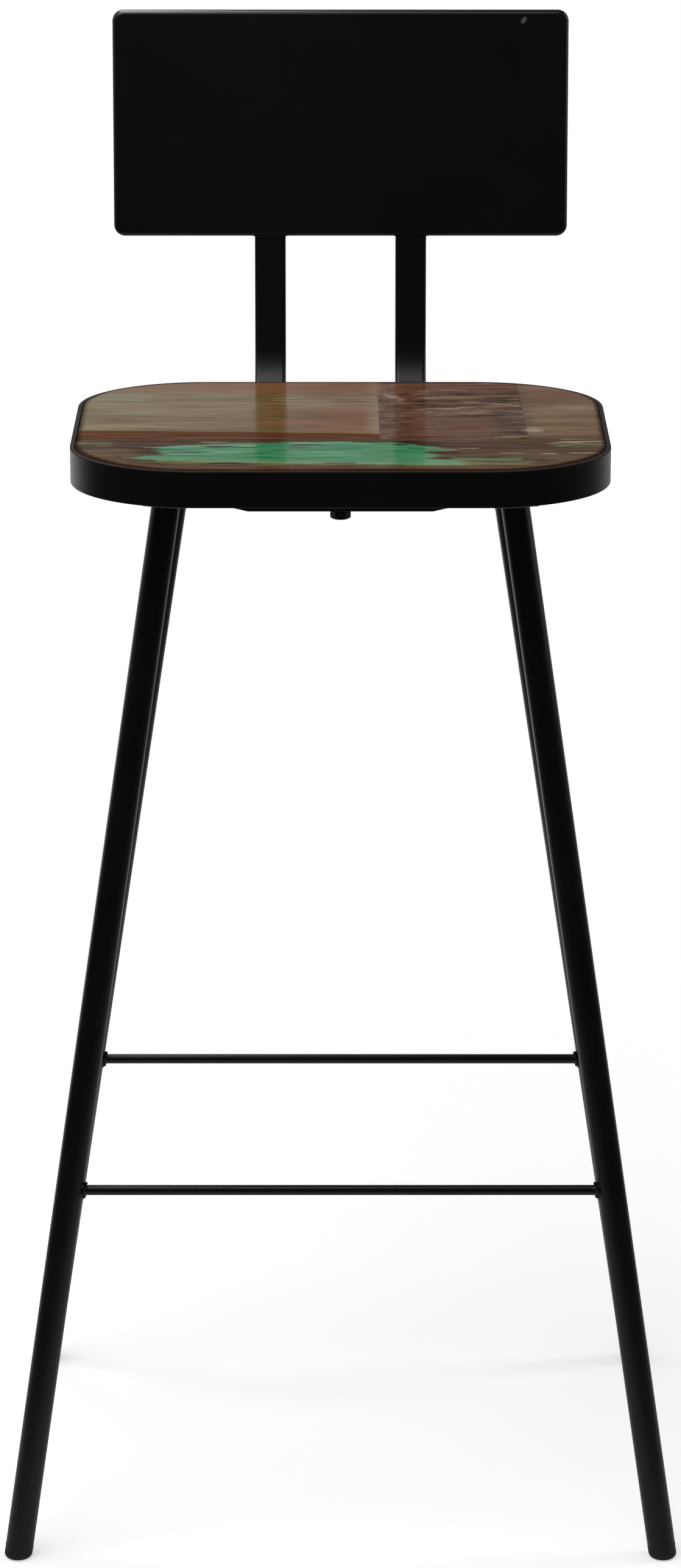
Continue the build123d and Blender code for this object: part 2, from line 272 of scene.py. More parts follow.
def blackCoat(spots):
    # satin powder coat: fine orange peel, cloudy sheen, a little dust
    finish = Finish("powderCoatBlack", Specular_IOR_Level=0.3)
    peel = finish.noise(900, detail=2)
    grit = finish.noise(3200, detail=1)
    cloud = finish.noise(14, rough=0.6)
    dust = finish.step(finish.noise(420, detail=3, rough=0.7), 0.66, 0.8)
    colour = finish.mix(cloud, tone(8, 8, 8), tone(15, 15, 15))
    colour = finish.mix(dust * 0.08, colour, tone(60, 58, 55))
    x, y, z = finish.split(finish.place)
    up = (z - spots["nickAt"][1]) / spots["nickSize"][1]
    across = (x - spots["nickAt"][0]) / spots["nickSize"][0] + (cloud - 0.5) * 2 - up * 0.5
    chip = 1 - finish.step(across * across + up * up, 0.05, 1.4)
    colour = finish.mix(chip * 0.75, colour, tone(92, 90, 88))
    # painted warm reflection of the boards: brown on the hoop's upper rim, with a rougher coat there
    stain = finish.window(z, *spots["rimReflectionLevel"], spots["rimReflectionSoft"])
    stain = stain * (1 - finish.step(y, seatHigh.y, seatHigh.y + spots["rimReflectionBackSoft"]))
    colour = finish.mix(stain * 0.8, colour, tone(24, 16, 12))
    rough = 0.27 + cloud * 0.1 + grit * 0.05 + chip * 0.3 + stain * 0.5
    height = peel + grit * 0.3 - chip * 2
    return finish.use(Base_Color=colour, Roughness=rough, Normal=finish.bump(height, 0.12, 0.0004))


def boltSteel():
    # blackened steel with bare wear
    finish = Finish("boltSteelBlack", Metallic=0.85)
    stain = finish.noise(160, detail=5, rough=0.65)
    wear = finish.step(finish.noise(420, rough=0.6), 0.58, 0.72)
    colour = finish.mix(stain, tone(26, 26, 29), tone(48, 46, 45))
    colour = finish.mix(wear * 0.5, colour, tone(120, 116, 110))
    return finish.use(Base_Color=colour, Roughness=0.32 + stain * 0.25,
                      Normal=finish.bump(stain, 0.15, 0.0003))


def zincSteel():
    # bright zinc with the blotchy spangle of plated screws
    finish = Finish("zincSteel", Metallic=1.0)
    stain = finish.noise(300, detail=5, rough=0.6)
    colour = finish.mix(stain, tone(168, 170, 172), tone(120, 118, 112))
    return finish.use(Base_Color=colour, Roughness=0.22 + finish.cells(900) * 0.2 + stain * 0.1,
                      Normal=finish.bump(stain, 0.1, 0.0002))


def blackPlastic():
    # moulded plastic, fine spark-eroded grain, scuffed grey near the floor
    finish = Finish("plasticBlack", Specular_IOR_Level=0.4)
    height = finish.split(finish.place)[2]
    scuff = finish.noise((90, 90, 700), detail=5, rough=0.7)
    low = 1 - finish.step(height, 0.0005, 0.006)
    greyed = finish.step(scuff, 0.45, 0.75) * (0.25 + low * 0.6)
    colour = finish.mix(greyed, tone(13, 13, 14), tone(52, 50, 47))
    return finish.use(Base_Color=colour, Roughness=0.5 + scuff * 0.2,
                      Normal=finish.bump(finish.cells(1500), 0.2, 0.0003))


# boards: each has its own tones, from pale streak to dark pore
boardLook = {
    "front": {"seed": (0.3, 1.7, 0.0), "gloss": 0.072,
              "pale": (104, 83, 64), "body": (71, 50, 37), "deep": (44, 29, 22)},
    "rearLeft": {"seed": (2.1, 5.2, 0.4), "gloss": 0.25,
                 "pale": (122, 96, 62), "body": (104, 73, 42), "deep": (78, 50, 28)},
    "rearMiddle": {"seed": (4.4, 9.3, 0.9), "gloss": 0.105,
                   "pale": (110, 82, 62), "body": (84, 53, 36), "deep": (54, 33, 24)},
    "rearRight": {"seed": (6.8, 3.1, 1.6), "gloss": 0.195,
                  "pale": (124, 98, 64), "body": (106, 77, 46), "deep": (82, 56, 34)},
}
# outline of the seat from its middle; the taper is the half width gained per metre to the back
seatShape = {"halfX": 0.180, "halfY": 0.1525, "corner": 0.086, "taper": 0.018, "bedInset": 0.0033}
# what all boards share
boardRim = {
    "wornLevel": (0.7566, 0.7582),  # plain sawn wood below, the worn top above
    "dirtAndShade": (0.0004, 0.0048),  # from the rim
    "raggedDirtAndShade": 0.004,
    "backFrom": (0.115, 0.145),
    "backDirtAndShade": 0.9,  # along the back it lies this much wider
}


# a lacquered board with its grain along x: the layers of its figure, and places from the seat's middle
class Wood(Finish):
    def __init__(self, name, look):
        super().__init__(name, Specular_IOR_Level=0.0, Coat_Roughness=0.13, Coat_IOR=1.5)
        seed = look["seed"]
        self.band = self.noise((3, 26, 8), seed, warp=0.3)
        self.broad = self.noise((11, 56, 16), seed, detail=5, rough=0.55, warp=0.35)
        self.streak = self.noise((21, 140, 40), seed, detail=6, rough=0.6, warp=0.2)
        self.grain = self.noise((34, 330, 90), seed, detail=5, rough=0.6)
        self.fibre = self.noise((26, 900, 220), seed, rough=0.6)
        self.pore = self.step(self.noise((55, 1300, 300), seed, detail=2), 0.62, 0.72)
        # these are the same on all boards
        self.ragged = self.noise((38, 95, 1), (3.1, 2.2, 0), detail=5, rough=0.6) - 0.5
        self.chip = self.noise((110, 420, 1), (6.3, 4.2, 0), detail=4, rough=0.6) - 0.5
        self.strand = self.noise((16, 560, 1), (9.1, 3.3, 0), detail=3)
        self.hair = self.noise((45, 1600, 1), (4.7, 8.8, 0), detail=3)
        self.x, y, self.z = self.split(self.place)
        self.y = y - seatMiddle.y
        self.rim = self.rimGap()
        pale, deep = look["pale"], look["deep"]
        self.body = self.mix(self.step(self.band, 0.36, 0.62), tone(*deep), tone(*look["body"]))
        for layer, start, full, share, shade in (
                (self.broad, 0.46, 0.66, 0.75, pale), (self.broad, 0.46, 0.3, 0.5, deep),
                (self.streak, 0.5, 0.68, 0.6, pale), (self.streak, 0.48, 0.34, 0.65, deep),
                (self.grain, 0.52, 0.66, 0.4, pale), (self.grain, 0.47, 0.35, 0.45, deep),
                (self.fibre, 0.52, 0.66, 0.45, pale), (self.fibre, 0.46, 0.34, 0.45, deep)):
            self.stain(self.step(layer, start, full), share, shade)
        ring = (self.y * 620 + self.band * 24 + self.broad * 4 + seed[0]).sine()
        self.stain(self.step(ring, 0.2, 0.95), 0.4, deep)
        self.stain(self.pore, 0.55, (30, 20, 14))

    def cover(self, mask, colour):
        self.body = self.mix(mask, self.body, colour)

    def stain(self, mask, share, shade):
        self.cover(mask * share, tone(*shade))

    def rimGap(self):
        # how far a place on the boards is from their rim, up to the corner radius
        corner = seatShape["corner"]
        acrossX = (abs(self.x) - self.y * seatShape["taper"] - (seatShape["halfX"] - corner)).atLeast(0.0)
        acrossY = (abs(self.y) - (seatShape["halfY"] - corner)).atLeast(0.0)
        return corner - seatShape["bedInset"] - (acrossX * acrossX + acrossY * acrossY) ** 0.5

    def dash(self, place, half, core=0.1):
        # a short mark along the grain: a ragged spindle of fine strands, sharper with a larger core
        left, right, line = place
        across = (self.x - (left + right) / 2) / (right - left) * 1.3 + self.chip * 0.9
        along = (self.y - line) / half + self.chip * 2 + self.ragged * 1.6
        spindle = 1 - self.step(across * across + along * along, core, 1.1)
        return spindle * self.step(self.hair + spindle * 0.14, 0.46, 0.56)

    def patch(self, area, soft):
        # a soft-edged area of the seat, streaked at its ends
        left, right, front, back = area
        along = self.window(self.x + (self.streak - 0.5) * 0.05, left, right, soft)
        return along * self.window(self.y + self.ragged * 0.012, front, back, soft)


def boardWood(name, look, dress):
    wood = Wood(name, look)
    sawn = wood.mix(0.45, wood.body, tone(120, 96, 70))
    film, shine = dress(wood)
    top = wood.step(wood.z, *boardRim["wornLevel"])
    wood.cover(1 - top, sawn)
    shine = shine * top
    film = film * top
    # dirt and painted shade: the boards darken along their rim, where they meet the hoop, and wider along
    # the back
    reach = 1 + wood.step(wood.y, *boardRim["backFrom"]) * boardRim["backDirtAndShade"]
    fromRim = (wood.rim + wood.ragged * boardRim["raggedDirtAndShade"]) / reach
    dirtAndShade = 1 - wood.step(fromRim, *boardRim["dirtAndShade"])
    wood.stain(dirtAndShade, 0.8, (30, 18, 13))
    height = wood.fibre * 0.4 + wood.streak * 0.7 + wood.grain * 0.4 - wood.pore * 0.6 + film * 0.5
    lacquer = look["gloss"] * (0.75 + wood.step(wood.band, 0.3, 0.7) * 0.5) * shine * (1 - dirtAndShade * 0.8)
    return wood.use(Base_Color=wood.body, Roughness=0.45 + wood.streak * 0.2, Coat_Weight=lacquer,
                    Normal=wood.bump(height, 0.35, 0.0006))


# old green paint on the front board: left, right, front and back of each area, from the seat's middle
paintPlace = {
    "field": (-0.118, 0.060, -0.131, -0.0615),
    "tongue": (0.046, 0.078, -0.131, -0.104),
    "frontSlope": -0.075,  # the front line leans to the front at the right
    "backCurve": 1.0,  # the back line falls away to both ends
    "backShift": 0.009,  # and lies further forward at the right
    "shiftX": (0.03, 0.06),
    "lineSoft": 0.0012,
    "fingers": {"field": 0.07, "tongue": 0.06},  # how far the ends run out along the grain
    "fadedFront": (-0.131, -0.118),
    "fadedRight": (0.05, 0.085),
    "spike": {"tip": -0.147, "end": -0.095, "line": -0.1125, "slope": 0.24},
    # bare wood around it
    "mauveX": (0.05, 0.08),
    "mauveY": (-0.12, -0.09),
    "remnant": (0.070, 0.118, -0.130, -0.106),
    "edgeX": (-0.12, 0.10),
    "edgeY": (-0.139, -0.128),
    "stained": (-0.150, -0.112, -0.106, -0.050),
    "shadow": (-0.105, 0.020, -0.064, -0.0505),
    "farRight": (0.144, 0.180, -0.079, -0.050),
    "beige": (0.078, 0.130, -0.135, -0.121),
    "noseRim": (0.009, 0.0135),  # from the rim
    "noseY": (-0.11, -0.09),
    "olive": ((-0.185, -0.150, -0.075, -0.053), (-0.170, -0.134, -0.120, -0.100)),
    # left, right and line of dark cracks and of pale bare fibres, and half their width
    "crackHalf": 0.0025,
    "fibreHalf": 0.0017,
    "cracks": ((-0.134, -0.118, -0.0955), (-0.112, -0.095, -0.0955), (-0.088, -0.071, -0.078),
               (-0.069, -0.056, -0.079), (-0.031, -0.013, -0.0705), (0.036, 0.044, -0.07),
               (0.056, 0.067, -0.0935), (0.0665, 0.079, -0.0957), (-0.008, 0.01, -0.129)),
    "fibres": ((-0.092, -0.078, -0.062), (-0.068, -0.057, -0.0735), (-0.0305, -0.0145, -0.065),
               (0.065, 0.077, -0.0868), (0.079, 0.0905, -0.082), (0.107, 0.12, -0.0965),
               (0.132, 0.142, -0.0995), (0.147, 0.174, -0.0605), (0.151, 0.172, -0.097)),
}


def dressFront(wood):
    place = paintPlace
    mix, step, stain = wood.mix, wood.step, wood.stain
    x, y = wood.x, wood.y
    finger = wood.noise((8, 170, 1), (1.2, 0.6, 0), detail=5, rough=0.65) - 0.5
    flaw = wood.noise((26, 250, 1), (0.2, 7.7, 0), detail=3)
    cloud = wood.noise((14, 38, 1), (8.2, 1.4, 0), rough=0.6)
    along = y + wood.ragged * 0.014
    fromFront = along - x * place["frontSlope"]
    fromBack = along + x * x * place["backCurve"] + step(x, *place["shiftX"]) * place["backShift"]
    bare = 1.0
    soft = place["lineSoft"]
    for name, reach in place["fingers"].items():
        left, right, front, back = place[name]
        area = wood.window(x + finger * reach, left, right, 0.003)
        area = area * step(fromFront, front - soft, front + soft)
        area = area * (1 - step(fromBack, back - soft, back + soft))
        bare = bare * (1 - area)
    spike = place["spike"]
    wedge = step((x - spike["tip"]) * spike["slope"] - abs(along - spike["line"]), 0.0, 0.0015)
    bare = bare * (1 - wedge * wood.window(x, spike["tip"], spike["end"], 0.002))
    worn = step(flaw, 0.64, 0.68) * step(cloud, 0.42, 0.55)
    paint = (1 - bare) * (1 - worn)

    shade = mix(step(cloud, 0.35, 0.62), tone(38, 108, 66), tone(70, 125, 91))
    shade = mix(step(wood.streak, 0.5, 0.66) * 0.6, shade, tone(89, 142, 108))
    shade = mix(step(wood.streak, 0.46, 0.34) * 0.6, shade, tone(31, 85, 54))
    shade = mix(step(wood.grain, 0.54, 0.66) * 0.4, shade, tone(104, 150, 117))
    faded = (1 - step(fromFront, *place["fadedFront"])) * 0.6
    faded = faded + step(x, *place["fadedRight"]) * 0.4
    shade = mix(faded, shade, tone(112, 122, 84))

    mauve = step(x, *place["mauveX"]) * step(y, *place["mauveY"])
    stain(mauve, 0.5, (78, 53, 44))
    # streaks of worn paint right of the painted field
    remnant = wood.patch(place["remnant"], 0.004)
    stain(remnant * step(finger, -0.02, 0.08), 0.7, (92, 128, 82))
    edge = wood.window(fromFront, *place["edgeY"], 0.003) * wood.window(x, *place["edgeX"], 0.02)
    stain(edge * step(wood.streak, 0.38, 0.56), 0.6, (108, 112, 74))
    stained = wood.patch(place["stained"], 0.005)
    stain(stained * step(wood.broad, 0.62, 0.42), 0.6, (66, 40, 32))
    shadow = wood.patch(place["shadow"], 0.003)
    stain(shadow, 0.5, (46, 30, 22))
    farRight = wood.patch(place["farRight"], 0.003)
    stain(farRight * step(wood.grain, 0.45, 0.6), 0.85, (124, 128, 94))
    beige = wood.patch(place["beige"], 0.003)
    stain(beige * step(wood.streak, 0.4, 0.55), 0.7, (116, 106, 72))
    nose = 1 - step(wood.rim + wood.ragged * 0.008, *place["noseRim"])
    nose = nose * (1 - step(y, *place["noseY"]))
    stain(nose, 0.75, (88, 62, 42))
    for area in place["olive"]:
        olive = wood.patch(area, 0.004) * step(wood.streak, 0.42, 0.6)
        stain(olive, 0.8, (100, 98, 66))
    stain(step(wood.strand, 0.6, 0.68), 0.4, (132, 116, 94))
    wood.cover(paint, shade)
    for mark in place["cracks"]:
        crack = wood.dash(mark, place["crackHalf"], 0.3)
        stain(crack, 0.95, (24, 28, 20))
    for mark in place["fibres"]:
        fibre = wood.dash(mark, place["fibreHalf"], 0.2)
        stain(fibre, 0.7, (160, 150, 128))
    return paint, 1 + paint * 2.1


# places on the rear left board: areas and lines as above, and where a tone sets in along x or y
rearLeftPlace = {
    "greyX": (-0.11, 0.0),
    "moss": (-0.166, -0.130, 0.066, 0.108),
    "mossDash": (-0.152, -0.130, 0.034),
    "dusty": (-0.045, 0.024, 0.055, 0.094),
    "warmX": (-0.05, 0.0),
    "warmY": (0.045, 0.06),
    "redY": (0.1, 0.125),
    "paleDash": (-0.180, -0.120, -0.011),
    "darkDash": (-0.172, -0.130, 0.005),
    "stripLeft": (-0.175, -0.0235),  # back line of the strip along the joint, at its left end
    "stripSlope": 0.05,  # it gets narrower to the right
    "tipX": (0.013, 0.027),
    "tipY": (-0.045, -0.025),
    "tipPale": (-0.026, 0.030),
}


def dressRearLeft(wood):
    # grey-green weathering at the left, warm brown at the right, reddish along front and back
    place = rearLeftPlace
    mix, step, stain = wood.mix, wood.step, wood.stain
    x, y = wood.x, wood.y
    wave = (wood.broad - 0.5) * 0.016
    drift = (wood.streak - 0.5) * 0.16 + (wood.broad - 0.5) * 0.24
    grey = 1 - step(x + drift, *place["greyX"])
    patina = mix(step(wood.broad, 0.38, 0.6), tone(92, 74, 46), tone(110, 98, 66))
    patina = mix(step(wood.grain, 0.5, 0.62) * 0.5, patina, tone(122, 116, 84))
    wood.cover(grey * 0.8, patina)
    moss = wood.patch(place["moss"], 0.006) + wood.dash(place["mossDash"], 0.006)
    stain(moss * step(wood.streak, 0.4, 0.55), 0.6, (108, 110, 82))
    dusty = wood.patch(place["dusty"], 0.006) * step(wood.grain, 0.44, 0.58)
    stain(dusty, 0.6, (116, 104, 86))
    warm = step(x + drift * 0.5, *place["warmX"]) * (1 - step(y + wave, *place["warmY"]))
    stain(warm, 0.6, (112, 74, 48))
    stain(step(y + wave, *place["redY"]), 0.6, (112, 68, 46))
    stain(wood.dash(place["paleDash"], 0.008), 0.4, (134, 112, 80))
    stain(wood.dash(place["darkDash"], 0.006), 0.6, (80, 54, 34))
    stripX, stripY = place["stripLeft"]
    fromStrip = y + (x - stripX) * place["stripSlope"] - stripY + wave * 0.4
    strip = 1 - step(fromStrip, -0.003, 0.002)
    stain(strip, 0.9, (84, 48, 29))
    stain(strip * step(wood.streak, 0.54, 0.4), 0.6, (56, 32, 22))
    stain(strip * step(wood.broad, 0.52, 0.64), 0.5, (112, 74, 52))
    # sun-bleached end grain at the right
    tip = step(x + wood.ragged * 0.014, *place["tipX"]) * step(y, *place["tipY"])
    stain(tip * step(wood.streak, 0.3, 0.6), 0.5, (124, 112, 92))
    bleached = tip * wood.window(y + wave, *place["tipPale"], 0.014)
    stain(bleached, 0.25, (156, 142, 122))
    dull = step(x, *place["warmX"]) * 0.3 + step(y + wave, *place["redY"]) * 0.15
    return strip * 0.2, (1 - strip * 0.8) * (1 - dull)


fillerPlace = {"at": (0.1290, -0.0215), "half": (0.0068, 0.0105)}


def fillerSpot(wood):
    # a pale filled spot across the joint of the middle and right boards
    spotX, spotY = fillerPlace["at"]
    halfX, halfY = fillerPlace["half"]
    across = (wood.x - spotX + (wood.streak - 0.5) * 0.014) / halfX
    along = (wood.y - spotY + wood.ragged * 0.008) / halfY
    spot = 1 - wood.step(across * across + along * along, 0.0, 1.6)
    spot = spot * wood.step(wood.strand, 0.34, 0.6)
    wood.stain(spot, 0.65, (166, 150, 130))


rearMiddlePlace = {
    "smooth": (0.050, 0.106, -0.060, 0.022),
    "roughX": (0.046, 0.062),
    "smudge": (0.104, 0.128, -0.040, 0.060),
    "leftEndX": (0.036, 0.046),
    "redY": (0.1, 0.14),
}


def dressRearMiddle(wood):
    # dark and rough, with short pale and dark scratches
    place = rearMiddlePlace
    step, stain = wood.step, wood.stain
    x, y = wood.x, wood.y
    scratch = wood.noise((22, 105, 1), (5.5, 1.1, 0), detail=5, rough=0.65)
    blotch = wood.noise((70, 62, 1), (2.5, 4.1, 0), detail=5, rough=0.65)
    area = wood.noise((32, 20, 1), (7.5, 2.1, 0), detail=3)
    stain(step(blotch, 0.42, 0.6), 0.4, (98, 68, 54))
    smooth = wood.patch(place["smooth"], 0.010)
    stain(smooth, 0.7, (94, 64, 52))
    rough = step(area, 0.3, 0.5) * (1 - smooth * 0.8) * step(x, *place["roughX"])
    stain(step(scratch, 0.52, 0.6) * rough, 0.85, (132, 110, 92))
    gouge = step(scratch, 0.46, 0.38) * (0.3 + rough * 0.7)
    stain(gouge, 0.8, (40, 26, 20))
    smudge = wood.patch(place["smudge"], 0.006)
    stain(smudge, 0.55, (62, 44, 36))
    leftEnd = 1 - step(x + wood.ragged * 0.02, *place["leftEndX"])
    stain(leftEnd, 0.5, (106, 80, 64))
    stain(leftEnd * step(blotch, 0.48, 0.38), 0.7, (56, 44, 38))
    stain(leftEnd * step(blotch, 0.54, 0.64), 0.8, (138, 122, 108))
    stain(step(y, *place["redY"]), 0.4, (104, 66, 46))
    fillerSpot(wood)
    return gouge * -0.8, 1 - gouge * 0.4


rearRightPlace = {
    "darkX": (0.126, 0.135),
    "redY": (0.086, 0.14),
    "paleDash": (0.148, 0.174, 0.059),
    "lowY": (-0.046, -0.034),
}


def dressRearRight(wood):
    # olive brown, redder at the back, dark towards the left and front joints
    place = rearRightPlace
    step, stain = wood.step, wood.stain
    x, y = wood.x, wood.y
    dark = x + wood.ragged * 0.016 + (wood.streak - 0.5) * 0.03
    dark = 1 - step(dark, *place["darkX"])
    stain(dark, 0.65, (72, 51, 40))
    back = wood.window(y + wood.ragged * 0.02, *place["redY"], 0.008)
    stain(back * step(wood.streak, 0.52, 0.44), 0.6, (108, 66, 46))
    stain(wood.dash(place["paleDash"], 0.012), 0.3, (138, 122, 96))
    low = 1 - step(y + wood.ragged * 0.02, *place["lowY"])
    stain(low, 0.7, (84, 55, 42))
    fillerSpot(wood)
    return low * 0.2, 1 - low * 0.5


finishes = {
    "powder_coat_black": blackCoat(coatMarks),
    "bolt_steel_black": boltSteel(),
    "zinc_steel": zincSteel(),
    "plastic_black": blackPlastic(),
    "wood_green_painted": boardWood("woodGreenPainted", boardLook["front"], dressFront),
    "wood_grey_brown": boardWood("woodGreyBrown", boardLook["rearLeft"], dressRearLeft),
    "wood_dark_rough": boardWood("woodDarkRough", boardLook["rearMiddle"], dressRearMiddle),
    "wood_light_brown": boardWood("woodLightBrown", boardLook["rearRight"], dressRearRight),
}
for node in nodes.values():
    slotName = node.data.materials[0].name.split(".")[0]
    node.data.materials[0] = finishes[slotName]
print("finishes mixed:", len(finishes))


def finishPiece(mesh, name, slotName, standsFor=(), sharp=35, evenFaces=False):
    for face in mesh.faces:
        face.smooth = True
    for edge in mesh.edges:
        edge.smooth = edge.is_manifold and edge.calc_face_angle(0) < math.radians(sharp)
    data = bpy.data.meshes.new(name)
    mesh.to_mesh(data)
    mesh.free()
    data.materials.append(finishes[slotName])
    piece = bpy.data.objects.new(name, data)
    bpy.context.collection.objects.link(piece)
    if evenFaces:  # flat faces stay flat in the shading, next to their rounded edges
        piece.modifiers.new("evenFaces", "WEIGHTED_NORMAL").keep_sharp = True
    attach(piece, "root")
    if standsFor:
        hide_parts(*standsFor)
    print("piece", name, len(data.polygons), "faces")


mergeGap = 1e-6
cutGap = 1e-7


def gather(whole, part, place=Matrix()):
    # set a small mesh down in a larger one
    bmesh.ops.transform(part, matrix=place, verts=part.verts)
    data = bpy.data.meshes.new("gathered")
    part.to_mesh(data)
    part.free()
    whole.from_mesh(data)
    bpy.data.meshes.remove(data)


def mergedCopy(nodeName):
    mesh = bmesh.new()
    mesh.from_mesh(nodes[nodeName].data)
    bmesh.ops.remove_doubles(mesh, verts=mesh.verts, dist=mergeGap)
    bmesh.ops.dissolve_limit(mesh, angle_limit=math.radians(0.5), verts=mesh.verts, edges=mesh.edges)
    return mesh


# boards: the sawn solid with its top cut into a fine grid, then worn by hand and time
boardWear = {
    "alongStep": 0.0032,
    "acrossStep": 0.0015,
    "rimDepth": 0.0022,  # top and rounded rim, which are cut and worn
    "dish": 0.00018,
    "dishScale": (9, 26),
    "ripple": 0.00012,
    "rippleScale": (30, 210),
    "jointDrop": 0.00012,
    "jointReach": 0.002,
    "jointChips": (70, 70),
    "jointDepth": 0.0006,
    "jointFill": 0.85,  # share of the open joint that the lacquer fills
    "onJoint": 1e-5,
    "dents": 9,
    "dentDepth": (0.0002, 0.0006),
    "dentLength": (0.006, 0.022),
    "dentWidth": (0.0015, 0.0035),
    "dentLimit": 1.5,  # dents deepen with a board's wear, up to this
}
boards = {
    "boardFront": {"node": "seat_board_front", "slot": "wood_green_painted",
                   "seed": 3, "wear": 0.8, "joints": ("back",)},
    "boardRearLeft": {"node": "seat_board_rear_left", "slot": "wood_grey_brown",
                      "seed": 7, "wear": 1.0, "joints": ("front", "right")},
    "boardRearMiddle": {"node": "seat_board_rear_middle", "slot": "wood_dark_rough",
                        "seed": 11, "wear": 2.2, "joints": ("front", "left", "right")},
    "boardRearRight": {"node": "seat_board_rear_right", "slot": "wood_light_brown",
                       "seed": 19, "wear": 1.0, "joints": ("front", "left")},
}


def cutGrid(mesh, faces, low, high, wear):
    # saw the given faces into strips across both directions
    geometry = list({part for face in faces for part in (*face.verts, *face.edges, face)})
    for axis, gap in ((0, wear["alongStep"]), (1, wear["acrossStep"])):
        normal = Vector((axis == 0, axis == 1, 0))
        count = round((high[axis] - low[axis]) / gap)
        for number in range(1, count):
            spot = low + (high - low) * number / count
            cut = bmesh.ops.bisect_plane(mesh, geom=geometry, dist=cutGap, plane_co=spot, plane_no=normal)
            geometry = cut["geom"]


def ruffle(x, y, scale, seed):
    return noise.noise(Vector((x * scale[0], y * scale[1], seed)))


def wearBoard(name, board, wear):
    low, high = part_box(board["node"])
    seed = board["seed"]
    mesh = mergedCopy(board["node"])
    upper = [face for face in mesh.faces
             if face.normal.z > 0.1 and face.calc_center_median().z > high.z - wear["rimDepth"]]
    cutGrid(mesh, upper, low, high, wear)

    chance = random.Random(seed)
    dents = []
    for _ in range(wear["dents"]):
        spot = Vector((chance.uniform(low.x, high.x), chance.uniform(low.y, high.y), 0))
        dents.append((spot, chance.uniform(*wear["dentLength"]), chance.uniform(*wear["dentWidth"]),
                      chance.uniform(*wear["dentDepth"])))
    edges = {"left": (0, low.x), "right": (0, high.x), "front": (1, low.y), "back": (1, high.y)}
    joints = [edges[joint] for joint in board["joints"]]
    for vert in mesh.verts:
        depth = high.z - vert.co.z
        if depth > wear["rimDepth"]:
            continue
        x, y = vert.co.x, vert.co.y
        hollow = ruffle(x, y, wear["dishScale"], seed) + 1
        ridge = ruffle(x, y, wear["rippleScale"], seed + 5) + 1
        chip = 0.55 + 0.6 * ruffle(x, y, wear["jointChips"], seed + 9)
        drop = wear["dish"] * hollow + wear["ripple"] * ridge * board["wear"]
        for axis, line in joints:
            gap = abs(vert.co[axis] - line)
            if gap < wear["onJoint"] and depth < wear["jointDepth"]:
                vert.co.z += depth * wear["jointFill"]
            near = max(0.0, 1 - gap / wear["jointReach"])
            drop += wear["jointDrop"] * near * near * chip
        for spot, length, width, deep in dents:
            reach = ((x - spot.x) / length) ** 2 + ((y - spot.y) / width) ** 2
            if reach < 1:
                drop += deep * (1 - reach) ** 2 * min(board["wear"], wear["dentLimit"])
        vert.co.z -= drop * (1 - depth / wear["rimDepth"])
    finishPiece(mesh, name, board["slot"], (board["node"],), sharp=40)


for name, board in boards.items():
    wearBoard(name, board, boardWear)
print("boards worn")

# flat-bar, sheet and moulded pieces: the solids again, with their cut edges rounded
softEdges = {
    "powder_coat_black": {
        "hoop": ("seat_band", 0.0006),
        "railLeft": ("rail_left", 0.0006),
        "railRight": ("rail_right", 0.0006),
        "crossRailFront": ("cross_rail_front", 0.0006),
        "crossRailRear": ("cross_rail_rear", 0.0006),
        "backrestPan": ("backrest_panel", 0.0004),
        "clampPlate": ("clamp_plate", 0.0005),
    },
    "bolt_steel_black": {"flatWashers": ("flat_washers", 0.0003)},
    "plastic_black": {"plugsFront": ("post_plugs_front", 0.0008), "plugsTop": ("post_plugs_top", 0.0008)},
}


def softenNode(name, nodeName, slotName, width):
    mesh = mergedCopy(nodeName)
    corners = [edge for edge in mesh.edges
               if edge.is_manifold and edge.calc_face_angle() > math.radians(50)]
    bmesh.ops.bevel(mesh, geom=corners, offset=width, offset_type="OFFSET", segments=3, profile=0.5,
                    affect="EDGES", clamp_overlap=True, material=-1)
    finishPiece(mesh, name, slotName, (nodeName,), sharp=48, evenFaces=True)


for slotName, pieces in softEdges.items():
    for name, (nodeName, width) in pieces.items():
        softenNode(name, nodeName, slotName, width)
print("edges softened")

# where the tubes, rods and bars run, for the welds and collars
stool = {
    "legRadius": 0.0095,
    "floorX": 0.222,
    "floorY": 0.166,
    "railX": 0.1135,  # middle of the rails, where the front legs meet them
    "topY": 0.0635,
    "rearInset": 0.004,
    "railBottom": seatLow.z,
    "rodHeight": 0.256,
    "rodRadius": 0.0035,
    "railWidth": 0.030,
    "crossRailY": 0.030,
    "hoopThickness": 0.003,
}
backrest = {
    "postX": 0.0505,
    "postHalf": 0.011,
    "lean": math.radians(6.5),
    "bendEnd": (0.2141, 0.7772),  # behind the seat's middle, and above the floor
    "panelFoot": 0.0759,  # along the lean, from the end of the bend
    "panelDepth": 0.020,
    "stitches": ((0.012, 0.036), (0.098, 0.122)),  # above the panel's foot
}
weldLook = {
    "rippleGap": 0.0012,
    "rippleLength": 0.6,  # along the seam, as a share of the bead's radius
    "sizeSpread": (0.92, 1.08),
    "gapSpread": (0.85, 1.15),
    "rodBead": 0.0010,
    "rodStep": 0.00115,  # middle of the bead, out from the rod and from the leg
    "legBead": 0.0020,
    "legStep": 0.0009,  # out from the leg and down from the rail
    "railBead": 0.0021,
    "railStep": 0.0012,  # up from the rail's underside
    "railInset": 0.001,  # in from the bar's corners
    "postBead": 0.0018,
    "postStep": 0.0004,  # out from the post
    "postInset": 0.001,  # back from the post's front
    "notchShare": 0.8,  # bead in the notch, as a share of the post's
    "notchStep": 0.0012,
    "notchInset": 0.003,
}
# the hoop's seam, on its left side
seamLook = {"fromMiddle": -0.046, "sunk": 0.0004, "half": (0.0006, 0.0022), "endGap": 0.0006}
legCorners = [(side, end) for side in (-1, 1) for end in (-1, 1)]  # left and right, front and rear


